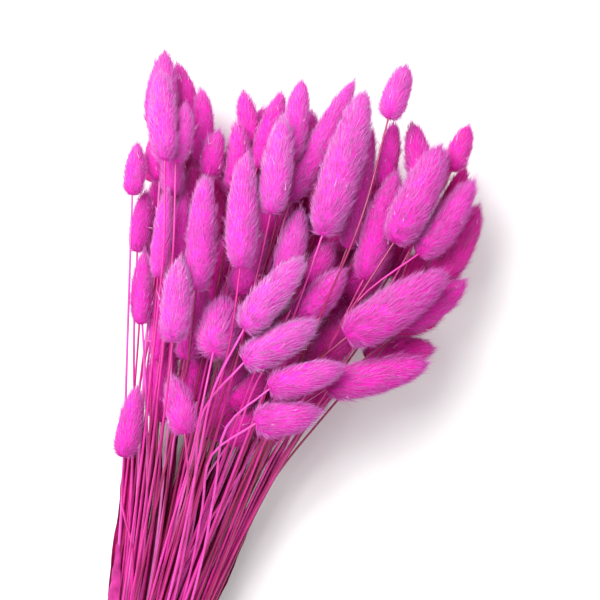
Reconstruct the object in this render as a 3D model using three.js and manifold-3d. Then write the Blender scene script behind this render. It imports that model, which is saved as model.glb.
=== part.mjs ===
// A bunch of dried bunny tail grass (hare's tail), dyed pink, lying on a table.
// The bunch lies along +Y, with its seed heads at +Y, its cut stem ends at -Y and the table at Z = 0.
// Millimetres throughout.
import * as THREE from "three";
import Module from "manifold-3d";

// Driving dimensions of the bunch
const LEAN_DEG = 17; // the head table below is written for a bunch that leans this far to the right
const TIE_Y = -125; // the elastic band, with Y = 0 where the stems are spread to a hand's width
const CUT_Y = -155; // the cut stem ends
const CUT_SPREAD = 5; // how unevenly the stems are cut
const DOME = { x: 5, y: 150, halfX: 94, halfY: 128, midZ: 40, rise: 38, rim: 0.15 }; // the heap of heads
const LAYER_DROP = 13; // each layer of heads lies this much below the one over it

// Driving dimensions of a stem
const STEM_R = 0.92; // to the corners of its three-sided section
const STEM_SIDES = 3;
const STEM_POINTS = 10; // from the cut end to the foot of the head
const WAIST = { y: 8, share: 0.25, lift: 0.05, right: 17 }; // the stems stay close together up to here
const NECK = { y: 84, share: 0.42, lift: 0.2, right: 30, minX: 35, minY: 130 }; // stems to the right bend here
const VIA_RISE = 2; // how far over its layer a stem passes the point named via
const APPROACH = 14; // the last stretch of a stem that points the way of its head

// Driving dimensions of a head
const HAIR = 0.04; // the share of a head's width that is only loose hair
const HEAD_STEPS = 4; // lengths that a head's axis is divided into while the bunch settles
const HEAD_AROUND = 8; // tufts and hollows round a head
const TUFT_LENGTH = 5.6; // from one ring of tufts to the next
const TUFT_DEPTH = 0.2; // how far the hollows lie below the tufts, as a share of the radius
const TUFT_LIFT = 0.34; // how far a tuft's point leans to the head's tip, in ring spacings
const WIDEST = 0.35; // where along its length a head is widest
const PRESSED = 0.72; // height of the axis of a head that lies on the table, as a share of its radius

// Driving dimensions of the elastic band
const BAND = { width: 8, thick: 1.5, clear: 0.35, segments: 40 };

// How the bunch settles
const STEM_GAP = 0.45; // between stems
const HEAD_GAP = 1.0; // between a head and anything else
const TABLE_GAP = 0.15; // between a stem and the table
const HEAD_GIVE = 0.35; // how far a head gives way where a stem moves by 1
const SETTLE_ROUNDS = 420; // rounds in which the heads are drawn to their places
const CLEAR_ROUNDS = 160; // rounds after them, which only clear what still touches
const HOLD_SHOWN = { across: 0.16, height: 0.012 }; // how firmly the heads that show keep their places
const HOLD_TABLE = { across: 0.03, height: 0.2 }; // heads that lie on the table
const HOLD_UNDER = { across: 0.03, height: 0.004 }; // the other heads at the back

// The stems whose heads show from above. Foot and tip of each head are measured across and along the
// leaning bunch, from the middle of the stems at Y = 0. Layer 0 lies on top of the heap, and a layer
// below 0 stands out of it. Via is a point that the stem passes where it runs over other heads, and dip
// is how far a head points down into the heap.
const SHOWN = [
  { foot: [-2, 205], tip: [-1, 248], width: 15.5, layer: 2.5 },
  { foot: [10, 203], tip: [4, 243], width: 13, layer: 4 },
  { foot: [3, 197], tip: [-2, 237], width: 13, layer: -1 },
  { foot: [4, 197], tip: [9, 223], width: 10, layer: -0.5, via: [5, 180] },
  { foot: [13, 196], tip: [15, 231], width: 10, layer: 3 },
  { foot: [-12, 182], tip: [-13, 206], width: 10, layer: 1 },
  { foot: [-6, 190], tip: [-4, 207], width: 8, layer: 2 },
  { foot: [4, 182], tip: [0, 209], width: 11, layer: 2 },
  { foot: [-11, 157], tip: [-9, 185], width: 10, layer: 2 },
  { foot: [-3, 146], tip: [1, 186], width: 9, layer: 1 },
  { foot: [5, 153], tip: [8, 185], width: 8, layer: 2 },
  { foot: [-12, 125], tip: [-10, 158], width: 10, layer: 2 },
  { foot: [-4, 109], tip: [-3, 142], width: 8, layer: 3 },
  { foot: [-2, 119], tip: [-3, 148], width: 8, layer: 3 },
  { foot: [21, 139], tip: [18, 190], width: 14, layer: 0 },
  { foot: [32, 151], tip: [37, 202], width: 14, layer: 0 },
  { foot: [21, 191], tip: [24, 212], width: 11, layer: 2 },
  { foot: [29, 185], tip: [31, 215], width: 11, layer: 2 },
  { foot: [36, 205], tip: [34, 230], width: 10, layer: 3 },
  { foot: [42, 175], tip: [53, 217], width: 14, layer: 0 },
  { foot: [55, 198], tip: [61, 234], width: 12, layer: 1 },
  { foot: [45, 194], tip: [52, 229], width: 11, layer: 2 },
  { foot: [60, 179], tip: [85, 235], width: 13, layer: 1 },
  { foot: [71, 165], tip: [89, 229], width: 18, layer: 0 },
  { foot: [80, 160], tip: [93, 214], width: 11, layer: 2 },
  { foot: [98.5, 216], tip: [107.5, 240], width: 12.5, layer: 0, via: [90, 182] },
  { foot: [99, 186], tip: [102, 215], width: 10, layer: 2 },
  { foot: [113, 184], tip: [110, 216], width: 13, layer: 2 },
  { foot: [103, 160], tip: [123, 204], width: 18, layer: 0, via: [96, 146] },
  { foot: [90, 145], tip: [104, 193], width: 14, layer: 1 },
  { foot: [128, 193], tip: [136, 214], width: 11, layer: 1 },
  { foot: [115, 155], tip: [138, 189], width: 16, layer: 0, via: [100, 145] },
  { foot: [123, 173], tip: [135, 196], width: 10, layer: 3 },
  { foot: [121, 142], tip: [140, 177], width: 16, layer: 2 },
  { foot: [98, 148], tip: [109, 173], width: 11, layer: 4 },
  { foot: [81, 120], tip: [125, 147], width: 20, layer: 0 },
  { foot: [103, 140], tip: [123, 158], width: 14, layer: 3 },
  { foot: [105, 126], tip: [135, 145], width: 13, layer: 2 },
  { foot: [98, 123], tip: [123, 126], width: 12, layer: 4 },
  { foot: [85, 115], tip: [119, 113], width: 16, layer: 3 },
  { foot: [73, 96], tip: [118, 107], width: 17, layer: 1 },
  { foot: [32, 138], tip: [43, 164], width: 15, layer: 2 },
  { foot: [52, 143], tip: [60, 177], width: 13, layer: 1 },
  { foot: [37, 122], tip: [62, 154], width: 16, layer: 0 },
  { foot: [59, 127], tip: [80, 149], width: 15, layer: 1 },
  { foot: [63, 140], tip: [74, 160], width: 13, layer: 2 },
  { foot: [72, 130], tip: [89, 144], width: 12, layer: 4 },
  { foot: [20, 113], tip: [26, 135], width: 19, layer: 0, dip: 22 },
  { foot: [8, 117], tip: [7, 154], width: 14, layer: 0 },
  { foot: [9, 109], tip: [17, 142], width: 12, layer: 2 },
  { foot: [35, 109], tip: [67, 125], width: 16, layer: 0 },
  { foot: [47, 96], tip: [79, 106], width: 15, layer: 0 },
  { foot: [41, 81], tip: [69, 86], width: 16, layer: 0 },
  { foot: [9, 77], tip: [3, 101], width: 14, layer: 0, dip: 12 },
  { foot: [-18, 65], tip: [-13, 97], width: 12, layer: 2 },
  { foot: [27, 73], tip: [40, 89], width: 11, layer: 3 },
  { foot: [27, 87], tip: [45, 104], width: 11, layer: 3 },
  { foot: [58, 196], tip: [65, 221], width: 13, layer: 3 },
  { foot: [118, 184], tip: [128, 203], width: 12, layer: 3 },
  { foot: [13, 178], tip: [11, 196], width: 11, layer: 4 },
  { foot: [50, 154], tip: [51, 172], width: 11, layer: 4 },
];

// The stems on the underside of the heap, spread evenly over a fan that opens from the band
const UNDER = {
  count: 33,
  angle: [-10, 11.5], // degrees from the band, clockwise from +Y
  narrow: 0.8, // share of that angle at the near end of the fan
  reach: [225, 338], // from the band to a head's middle
  length: [37, 47],
  width: [15, 19],
  layers: [0, 22, 0, 36], // heights of their middles in turn, where 0 is on the table
  rim: 26, // height of the outermost ones
};

const rad = THREE.MathUtils.degToRad;
const { lerp, clamp, smoothstep } = THREE.MathUtils;
const UP = new THREE.Vector3(0, 0, 1);

function seededRandom(seed) {
  let a = seed;
  return () => {
    a = (a + 0x6d2b79f5) | 0;
    let t = Math.imul(a ^ (a >>> 15), 1 | a);
    t = (t + Math.imul(t ^ (t >>> 7), 61 | t)) ^ t;
    return ((t ^ (t >>> 14)) >>> 0) / 4294967296;
  };
}
const random = seededRandom(3);
const between = (low, high) => lerp(low, high, random());

// A head's radius along its length, from 0 at the foot to 1 at the tip
function headProfile(t) {
  const side = t < WIDEST ? (WIDEST - t) / WIDEST : (t - WIDEST) / (1 - WIDEST);
  return t < WIDEST ? (1 - side ** 3) ** 0.4 : (1 - side ** 2.4) ** 0.6;
}

// The height of the heap's layers over a place on the table
function layerHeight(x, y, layer) {
  const q = ((x - DOME.x) / DOME.halfX) ** 2 + ((y - DOME.y) / DOME.halfY) ** 2;
  const f = Math.sqrt(Math.max(DOME.rim, 1 - q));
  return DOME.midZ + (DOME.rise - LAYER_DROP * layer) * f;
}

// Turns a measured place of the leaning bunch so that the bunch lies along Y
function straighten([across, along]) {
  const c = Math.cos(rad(LEAN_DEG));
  const s = Math.sin(rad(LEAN_DEG));
  return [across * c - along * s, across * s + along * c];
}

// The heads that show, with their height from the layer
function shownHeads() {
  return SHOWN.map(({ foot, tip, width, layer, via, dip = 0 }) => {
    const [fx, fy] = straighten(foot);
    const [tx, ty] = straighten(tip);
    const footZ = layerHeight(fx, fy, layer);
    const tipZ = lerp(footZ, layerHeight(tx, ty, layer), 0.7) + between(-2, 2) - dip;
    const head = {
      foot: new THREE.Vector3(fx, fy, footZ),
      tip: new THREE.Vector3(tx, ty, tipZ),
      radius: (width / 2) * (1 - HAIR),
      hold: HOLD_SHOWN,
    };
    if (via) {
      const [vx, vy] = straighten(via);
      head.via = new THREE.Vector3(vx, vy, layerHeight(vx, vy, layer) + VIA_RISE);
    }
    return head;
  });
}

// The heads at the back. Steps by the two shares fill the fan evenly.
function underHeads() {
  const [stepA, stepB] = [0.7549, 0.5698];
  const heads = [];
  for (let i = 0; i < UNDER.count; i++) {
    const u = (0.5 + i * stepA) % 1;
    const v = (0.5 + i * stepB) % 1;
    const angle = rad(lerp(...UNDER.angle, u) * lerp(UNDER.narrow, 1, v));
    const reach = Math.sqrt(lerp(UNDER.reach[0] ** 2, UNDER.reach[1] ** 2, v));
    const radius = (between(...UNDER.width) / 2) * (1 - HAIR);
    const edge = Math.max(Math.abs(2 * u - 1), Math.abs(2 * v - 1));
    const layer = UNDER.layers[i % UNDER.layers.length];
    const z = lerp(layer || PRESSED * radius, UNDER.rim, smoothstep(edge, 0.75, 1));
    const middle = new THREE.Vector3(reach * Math.sin(angle), TIE_Y + reach * Math.cos(angle), z);
    const way = new THREE.Vector3(Math.sin(angle * 2), Math.cos(angle * 2), 0);
    const half = between(...UNDER.length) / 2;
    heads.push({
      foot: middle.clone().addScaledVector(way, -half),
      tip: middle.clone().addScaledVector(way, half),
      radius,
      hold: z < radius ? HOLD_TABLE : HOLD_UNDER,
    });
  }
  return heads;
}

// Places for the stems inside the band: rows of close pairs, one above another
const PAIR_STEP = 3.05;
const ROW_STEP = 2.3;
const PAIR_HALF = 0.38;
const ROWS = [5, 6, 6, 6, 6, 6, 6, 6]; // pairs in each row, from the table up
const SPLAY = { x: 1.35, z: 1.25 }; // how much wider the bundle is at the cut ends
const RISE_FROM_BAND = 35; // the stems leave the band in line with it, this far
const TIE_Z = ((ROWS.length - 1) * ROW_STEP) / 2 + STEM_R + BAND.clear + BAND.thick;

// Gives each stem its place in the band, so that the stems cross as little as they can
function deal(heads) {
  const slope = (h, axis, from) => (h.foot[axis] - from) / (h.foot.y - TIE_Y);
  const byHeight = [...heads].sort((a, b) => slope(a, "z", TIE_Z) - slope(b, "z", TIE_Z));
  const pairs = [];
  let taken = 0;
  ROWS.forEach((count, row) => {
    const inRow = byHeight.slice(taken, taken + 2 * count);
    taken += 2 * count;
    inRow.sort((a, b) => slope(a, "x", 0) - slope(b, "x", 0));
    for (let k = 0; k < count; k++) {
      const x = (k - (count - 1) / 2) * PAIR_STEP;
      const z = TIE_Z + (row - (ROWS.length - 1) / 2) * ROW_STEP;
      const pair = [inRow[2 * k], inRow[2 * k + 1]];
      pair.forEach((head, side) => {
        head.slot = new THREE.Vector3(x + (side ? PAIR_HALF : -PAIR_HALF), TIE_Y, z);
        head.pair = pairs.length;
      });
      pairs.push(pair);
    }
  });
  return pairs;
}

// The first shape of a stem and its head: a chain of points from the cut end to the head's tip
function firstChain(head) {
  const { foot, tip, slot } = head;
  const way = tip.clone().sub(foot).normalize();
  const straight = slot.clone().setY(TIE_Y + RISE_FROM_BAND);
  const waist = new THREE.Vector3(
    Math.min(WAIST.right, lerp(slot.x, foot.x, WAIST.share)),
    WAIST.y,
    lerp(slot.z, foot.z, WAIST.share + WAIST.lift),
  );
  const neck = new THREE.Vector3(
    Math.min(NECK.right, lerp(slot.x, foot.x, NECK.share)),
    NECK.y,
    lerp(slot.z, foot.z, NECK.share + NECK.lift),
  );
  const approach = foot.clone().addScaledVector(way, -APPROACH);
  const knots = [slot, straight, waist];
  if (foot.x > NECK.minX && foot.y > NECK.minY) knots.push(neck);
  knots.push(head.via ?? approach, foot);
  const curve = new THREE.CatmullRomCurve3(knots, false, "centripetal");
  const cut = slot.clone().setY(CUT_Y + between(-CUT_SPREAD, CUT_SPREAD));
  cut.x = slot.x * SPLAY.x;
  cut.z = TIE_Z + (slot.z - TIE_Z) * SPLAY.z;
  const points = [cut, slot.clone()];
  const steps = STEM_POINTS - 2;
  for (let i = 1; i <= steps; i++) points.push(curve.getPointAt(i / steps));
  for (let i = 1; i <= HEAD_STEPS; i++) points.push(foot.clone().lerp(tip, i / HEAD_STEPS));
  return points;
}

// The widths that the chain's points keep clear while the bunch settles
function chainRadii(head) {
  const radii = Array(STEM_POINTS - 1).fill(STEM_R);
  radii.push(Math.max(STEM_R, 0.5 * head.radius));
  for (let i = 1; i < HEAD_STEPS; i++) {
    radii.push(head.radius * Math.min(1, headProfile(i / HEAD_STEPS) + 0.06));
  }
  radii.push(0.3 * head.radius);
  return radii;
}

// Nearest points of two segments, as shares s and t of their lengths, and w, the way from one to the other
const near = { s: 0, t: 0, w: new THREE.Vector3(), u: new THREE.Vector3(), v: new THREE.Vector3() };
function findNearest(from, to) {
  const { u, v, w } = near;
  u.subVectors(from.b, from.a);
  v.subVectors(to.b, to.a);
  w.subVectors(from.a, to.a);
  const uu = u.dot(u);
  const uv = u.dot(v);
  const vv = v.dot(v);
  const uw = u.dot(w);
  const vw = v.dot(w);
  const spread = uu * vv - uv * uv;
  const s = spread > 1e-9 ? clamp((uv * vw - vv * uw) / spread, 0, 1) : 0.5;
  near.t = clamp((uv * s + vw) / vv, 0, 1);
  near.s = clamp((uv * near.t - uw) / uu, 0, 1);
  w.addScaledVector(u, near.s).addScaledVector(v, -near.t);
}

// Moves a segment so that its point at share s goes along w by k
function shift(segment, s, w, k) {
  const each = k / ((1 - s) ** 2 + s ** 2);
  if (!segment.a.fixed) segment.a.addScaledVector(w, each * (1 - s));
  if (!segment.b.fixed) segment.b.addScaledVector(w, each * s);
}

// Pushes two segments apart where they or the space that they keep clear overlap
function pushApart([one, two]) {
  findNearest(one, two);
  const { s, t, w } = near;
  const gap = one.isHead || two.isHead ? HEAD_GAP : STEM_GAP;
  const want = lerp(one.a.r, one.b.r, s) + lerp(two.a.r, two.b.r, t) + gap;
  const apart = w.length();
  if (apart >= want) return;
  if (apart < 1e-6) w.copy(UP);
  const giveOne = one.isHead ? HEAD_GIVE : 1;
  const giveTwo = two.isHead ? HEAD_GIVE : 1;
  const share = (want - apart) / w.length() / (giveOne + giveTwo);
  shift(one, s, w, share * giveOne);
  shift(two, t, w, -share * giveTwo);
}

// Pairs of segments that are near enough to meet. Two stems of one pair may meet inside the band.
function nearPairs(segments) {
  const reach = 3;
  segments.forEach(({ a, b, box }) => {
    box.makeEmpty().expandByPoint(a).expandByPoint(b).expandByScalar(Math.max(a.r, b.r) + reach);
  });
  const pairs = [];
  segments.forEach((one, i) => {
    for (let j = i + 1; j < segments.length; j++) {
      const two = segments[j];
      if (one.head === two.head || !one.box.intersectsBox(two.box)) continue;
      const inBand = one.order < 2 || two.order < 2;
      if (one.head.pair === two.head.pair && inBand) continue;
      pairs.push([one, two]);
    }
  });
  return pairs;
}

// Keeps a chain's bends as they were first, and its head's length
function keepShape({ chain, first }, stiff, spread) {
  const bend = new THREE.Vector3();
  for (let i = 2; i < chain.length - 1; i++) {
    const give = i >= STEM_POINTS - 1 ? stiff * 2 : stiff;
    bend.copy(first[i - 1]).add(first[i + 1]).multiplyScalar(-0.5).add(first[i]);
    bend.addScaledVector(chain[i - 1], 0.5).addScaledVector(chain[i + 1], 0.5).sub(chain[i]);
    chain[i].x += give * bend.x;
    chain[i].y += spread * bend.y;
    chain[i].z += give * bend.z;
  }
  for (let i = STEM_POINTS - 1; i < chain.length - 1; i++) {
    const want = first[i].distanceTo(first[i + 1]);
    bend.subVectors(chain[i + 1], chain[i]);
    bend.multiplyScalar((0.5 * (bend.length() - want)) / bend.length());
    chain[i].add(bend);
    chain[i + 1].sub(bend);
  }
}

// Draws a head to its place
function holdHead({ chain, foot, tip, hold }, strength) {
  const pull = new THREE.Vector3();
  for (const [point, place] of [[chain[STEM_POINTS - 1], foot], [chain[chain.length - 1], tip]]) {
    pull.subVectors(place, point).multiplyScalar(strength);
    point.x += hold.across * pull.x;
    point.y += hold.across * pull.y;
    point.z += hold.height * pull.z;
  }
}

// The hair under a head is pressed flat by the table, and a stem lies clear of it
function keepAboveTable({ chain }) {
  chain.forEach((point, i) => {
    const low = i >= STEM_POINTS ? point.r * PRESSED : STEM_R + TABLE_GAP;
    point.z = Math.max(low, point.z);
  });
}

// Lets the stems and heads push each other aside until none overlaps another or the table
function settle(heads) {
  const segments = [];
  for (const head of heads) {
    const radii = chainRadii(head);
    head.first = firstChain(head);
    head.chain = head.first.map((v, i) => Object.assign(v.clone(), { r: radii[i], fixed: i === 1 }));
    for (let i = 0; i < head.chain.length - 1; i++) {
      const [a, b] = head.chain.slice(i, i + 2);
      segments.push({ head, a, b, order: i, isHead: i >= STEM_POINTS - 1, box: new THREE.Box3() });
    }
  }
  let pairs = [];
  for (let round = 0; round < SETTLE_ROUNDS + CLEAR_ROUNDS; round++) {
    if (round % 6 === 0) pairs = nearPairs(segments);
    const ease = 1 - smoothstep(round, SETTLE_ROUNDS * 0.6, SETTLE_ROUNDS + CLEAR_ROUNDS * 0.5);
    for (const head of heads) {
      holdHead(head, ease);
      keepShape(head, 0.02 + 0.13 * ease, 0.1 * ease);
    }
    pairs.forEach(pushApart);
    heads.forEach(keepAboveTable);
  }
}

// A ring of points round an axis, turned so that it follows the ring before it without twisting
class Frame {
  constructor(direction) {
    this.direction = direction.clone().normalize();
    const side = Math.abs(this.direction.z) < 0.9 ? UP : new THREE.Vector3(1, 0, 0);
    this.u = new THREE.Vector3().crossVectors(side, this.direction).normalize();
  }
  follow(direction) {
    const to = direction.clone().normalize();
    this.u.applyQuaternion(new THREE.Quaternion().setFromUnitVectors(this.direction, to));
    this.direction = to;
    this.u.addScaledVector(to, -this.u.dot(to)).normalize();
  }
  // The angle at which a ring's lowest point lies
  downward() {
    const v = new THREE.Vector3().crossVectors(this.direction, this.u);
    return Math.atan2(-v.z, -this.u.z);
  }
  point(centre, angle, radius, forward = 0) {
    const v = new THREE.Vector3().crossVectors(this.direction, this.u);
    return centre
      .clone()
      .addScaledVector(this.u, radius * Math.cos(angle))
      .addScaledVector(v, radius * Math.sin(angle))
      .addScaledVector(this.direction, forward);
  }
}

// Rings of points joined into one closed skin. A ring of one point closes it.
class Skin {
  constructor() {
    this.points = [];
    this.faces = [];
    this.rings = [];
  }
  ring(points) {
    this.rings.push(points.map((v) => this.points.push(v) - 1));
  }
  cap() {
    const ring = this.rings[0];
    for (let i = 1; i < ring.length - 1; i++) this.faces.push([ring[0], ring[i + 1], ring[i]]);
  }
  // Walks round two rings side by side and takes each time the step that lags behind
  join(lower, upper) {
    let i = 0;
    let j = 0;
    while (i < lower.length || j < upper.length) {
      const a = lower[i % lower.length];
      const b = upper[j % upper.length];
      if (upper.length === 1 || (i < lower.length && (i + 0.5) / lower.length <= (j + 0.5) / upper.length)) {
        if (i >= lower.length) break;
        this.faces.push([a, lower[(i + 1) % lower.length], b]);
        i++;
      } else {
        this.faces.push([a, upper[(j + 1) % upper.length], b]);
        j++;
      }
    }
  }
  // Joins two rings of tufts and hollows so that each tuft is a low pyramid of its own
  joinTufts(lower, upper, odd) {
    const n = lower.length;
    for (let j = 0; j < n; j++) {
      const [a, b, c, d] = [lower[j], lower[(j + 1) % n], upper[(j + 1) % n], upper[j]];
      if ((j + odd) % 2 === 0) this.faces.push([a, b, d], [b, c, d]);
      else this.faces.push([a, b, c], [a, c, d]);
    }
  }
}

// One stem with its head, as a closed skin
function grass(head) {
  const skin = new Skin();
  const { chain } = head;
  const frame = new Frame(chain[1].clone().sub(chain[0]));
  const stemPoints = chain.slice(0, STEM_POINTS);
  stemPoints.forEach((centre, i) => {
    const before = chain[Math.max(0, i - 1)];
    frame.follow(chain[i + 1].clone().sub(before));
    const ring = [];
    for (let k = 0; k < STEM_SIDES; k++) {
      ring.push(frame.point(centre, (2 * Math.PI * k) / STEM_SIDES, STEM_R));
    }
    skin.ring(ring);
  });
  skin.cap();
  for (let i = 0; i < STEM_POINTS - 1; i++) skin.join(skin.rings[i], skin.rings[i + 1]);

  const axis = new THREE.CatmullRomCurve3(chain.slice(STEM_POINTS - 1), false, "centripetal");
  const length = axis.getLength();
  const ringCount = clamp(Math.round(length / TUFT_LENGTH), 5, 11);
  const onTable = axis.getPointAt(WIDEST).z < head.radius;
  const turn = random();
  for (let k = 1; k <= ringCount; k++) {
    const t = (k - 0.45) / (ringCount + 0.35);
    frame.follow(axis.getTangentAt(t));
    const centre = axis.getPointAt(t);
    const wide = head.radius * headProfile(t);
    const start = onTable ? frame.downward() + Math.PI / HEAD_AROUND : turn;
    const ring = [];
    for (let j = 0; j < HEAD_AROUND; j++) {
      const isTuft = (j + k) % 2 === 0;
      const rough = 1 - 0.1 * random();
      const radius = isTuft ? wide * rough : wide * (1 - TUFT_DEPTH);
      const forward = isTuft ? (TUFT_LIFT * length) / ringCount : 0;
      const v = frame.point(centre, start + (2 * Math.PI * j) / HEAD_AROUND, radius, forward);
      v.z = Math.max(0, v.z);
      ring.push(v);
    }
    skin.ring(ring);
  }
  skin.ring([chain[chain.length - 1]]);
  const last = skin.rings.length - 1;
  skin.join(skin.rings[STEM_POINTS - 1], skin.rings[STEM_POINTS]);
  for (let k = 1; k < ringCount; k++) {
    skin.joinTufts(skin.rings[STEM_POINTS + k - 1], skin.rings[STEM_POINTS + k], k);
  }
  skin.join(skin.rings[last - 1], skin.rings[last]);
  return skin;
}

const wasm = await Module();
wasm.setup();

function toSolid({ points, faces }) {
  return new wasm.Manifold(
    new wasm.Mesh({
      numProp: 3,
      vertProperties: new Float32Array(points.flatMap((v) => v.toArray())),
      triVerts: new Uint32Array(faces.flat()),
    }),
  );
}

function toGeometry(solid) {
  const { vertProperties, triVerts } = solid.getMesh();
  const geometry = new THREE.BufferGeometry();
  geometry.setAttribute("position", new THREE.BufferAttribute(new Float32Array(vertProperties), 3));
  geometry.setIndex(new THREE.BufferAttribute(new Uint32Array(triVerts), 1));
  geometry.computeVertexNormals();
  return geometry;
}

// The elastic band: a flat ring stretched round the outermost stems
function band(heads) {
  const section = (grow) => {
    const points = [];
    for (let i = 0; i < BAND.segments; i++) {
      const angle = (2 * Math.PI * i) / BAND.segments;
      const out = new THREE.Vector2(Math.cos(angle), Math.sin(angle));
      const reach = ({ slot }) => slot.x * out.x + (slot.z - TIE_Z) * out.y;
      const { slot } = heads.reduce((most, head) => (reach(head) > reach(most) ? head : most));
      points.push(new THREE.Vector2(slot.x, slot.z - TIE_Z).addScaledVector(out, STEM_R + grow));
    }
    return new THREE.Shape(points);
  };
  const outer = section(BAND.clear + BAND.thick);
  outer.holes.push(section(BAND.clear));
  const ring = new THREE.ExtrudeGeometry(outer, { depth: BAND.width, bevelEnabled: false });
  ring.rotateX(Math.PI / 2);
  ring.translate(0, TIE_Y + BAND.width / 2, TIE_Z);
  return ring;
}

const grassMaterial = new THREE.MeshStandardMaterial({ color: 0xe455b8, roughness: 0.9, metalness: 0 });
const bandMaterial = new THREE.MeshStandardMaterial({ color: 0xc9a36a, roughness: 0.7, metalness: 0 });

const heads = [...shownHeads(), ...underHeads()];
const pairs = deal(heads);
settle(heads);

const bunch = new THREE.Group();
pairs.forEach((pair, i) => {
  const [one, two] = pair.map((head) => toSolid(grass(head)));
  const mesh = new THREE.Mesh(toGeometry(one.add(two)), grassMaterial);
  mesh.name = `grass_pair_${String(i + 1).padStart(2, "0")}`;
  bunch.add(mesh);
});
const bandMesh = new THREE.Mesh(band(heads), bandMaterial);
bandMesh.name = "elastic_band";
bunch.add(bandMesh);

// The origin is on the table, under the middle of the bunch
const middle = new THREE.Box3().setFromObject(bunch, true).getCenter(new THREE.Vector3());
bunch.position.set(-middle.x, -middle.y, 0);

export default bunch;
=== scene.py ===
# The looks of a bunch of dried bunny tail grass (hare's tail), dyed pink, lying on a pale floor.
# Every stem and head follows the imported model. Metres throughout, with +Z up.
import math

import bpy
import numpy as np
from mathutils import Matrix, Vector


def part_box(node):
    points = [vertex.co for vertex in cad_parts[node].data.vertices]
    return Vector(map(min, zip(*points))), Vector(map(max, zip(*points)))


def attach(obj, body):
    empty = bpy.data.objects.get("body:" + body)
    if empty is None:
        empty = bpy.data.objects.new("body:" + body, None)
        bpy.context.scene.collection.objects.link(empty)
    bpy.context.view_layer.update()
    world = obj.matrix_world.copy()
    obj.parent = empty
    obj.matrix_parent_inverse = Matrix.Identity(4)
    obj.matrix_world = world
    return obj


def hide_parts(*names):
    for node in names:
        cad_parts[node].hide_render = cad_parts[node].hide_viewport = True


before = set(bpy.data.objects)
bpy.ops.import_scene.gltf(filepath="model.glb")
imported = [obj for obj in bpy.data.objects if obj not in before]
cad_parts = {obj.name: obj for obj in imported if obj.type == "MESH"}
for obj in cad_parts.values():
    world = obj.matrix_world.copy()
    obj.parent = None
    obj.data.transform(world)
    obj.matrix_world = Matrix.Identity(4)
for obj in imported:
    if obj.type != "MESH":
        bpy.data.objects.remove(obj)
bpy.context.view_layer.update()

MM = 0.001

# The camera looks straight down, from where the bunch leans to the right as in the photograph
LEAN = math.radians(17)
LOOK_AT = (17.7 * MM, 271.6 * MM)  # across and along the bunch, from the middle of the elastic band
LOOK_HEIGHT = 45 * MM  # the height at which the view is VIEW_WIDTH wide
CAMERA_HEIGHT = 1.5
VIEW_WIDTH = 0.27
SENSOR = 36.0  # millimetres

# What is read from the model
CAD_STEM_R = 0.92 * MM  # to the corners of the model's three-sided stems
STEM_CORNERS = 3
HEAD_CORNERS = 5  # at least, in a ring of a head
SEPARATE_FROM = 26 * MM  # the two stems of a node are apart from about this far beyond the band
SEPARATE_STEP = 2 * MM
CUT_WITHIN = 20 * MM  # the cut ends lie further than this from the band
BAND_WITHIN = 2 * MM  # the stems' corners inside the band lie no further than this from its middle
WELD = 0.001 * MM
AXIS_STEP = 1.5 * MM
ABOVE_FLOOR = 0.1 * MM  # nothing reaches lower

# Stems
STEM_THICK = (0.74 * MM, 0.48 * MM)  # radius at the cut end and under the head
STEM_SIDES = 7
STEM_STEP = 7 * MM
STEM_INTO_HEAD = 0.35  # share of the head's length
STEM_EASE = 0.25  # how far a bend in the model's stem is rounded off
STEM_PALE_THICKER = 0.12  # how much thicker the palest stem is than the darkest, as a share
STEM_UNEVEN = 0.05  # how much a stem's radius varies along it, as a share
STEM_WAVES = 37  # in radians, over its length
STEM_SHIFT = 50  # and how far a stem's tone shifts them, so that no two stems are alike
STEM_TONE = (-0.15, 0.85)  # from the darkest stem to the palest
STEM_PAINTED_LIGHT_LEFT = 6  # painted light and shade: how much paler a stem is for each metre that it lies further to the left, and darker to the right, where the heads shade it

# The dense core of a head
CORE_SHARE = 0.92  # the core's radius as a share of the head's
CORE_ENDS = (-0.03, 0.95)  # where the core starts and ends, as shares of the head's length
CORE_AROUND = 16
CORE_STEP = 2.6 * MM
CORE_RINGS = 9  # at least
CORE_ROUGH = 0.06
WIDEST = 0.35  # where a head is widest, as a share of its length
FOOT_CURVE = (2.8, 0.45)  # the two powers of its outline towards the stem
TIP_CURVE = 2.4  # the first of those towards the tip, and TAPER holds the second
TAPER = (0.5, 0.7)  # from a blunt head to a pointed one

# The fur of a head
HAIR_COUNT = 196000  # short hairs on all the heads together
SHOWS = (0.7, 1.0)  # the lowest heads have fewer hairs
SHOWS_AT = (20 * MM, 45 * MM)  # the heights of their middles
MORE_AT_FOOT = (2.2, 1.6, 1)  # how much denser the hairs are near the stem
FOOT_SHARES = (0, 0.1, 0.2)  # and where, as shares of the core's length
ROOT_STEPS = 400
ROOT_TURN = 0.35  # how far a hair's place round the head varies, in radians
HAIR_LENGTH = 3.6 * MM  # on a head of USUAL_RADIUS
USUAL_RADIUS = 7 * MM
LENGTH_POWER = 0.6  # how a hair's length grows with the head's radius
HAIR_OUT = 0.46  # how far a hair stands out, against 1 along the core's surface
HAIR_FORWARD = 0.3  # and how far it leans to the head's tip
HAIR_THICK = 0.14 * MM  # from a hair's axis to its corners, at the root
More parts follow.
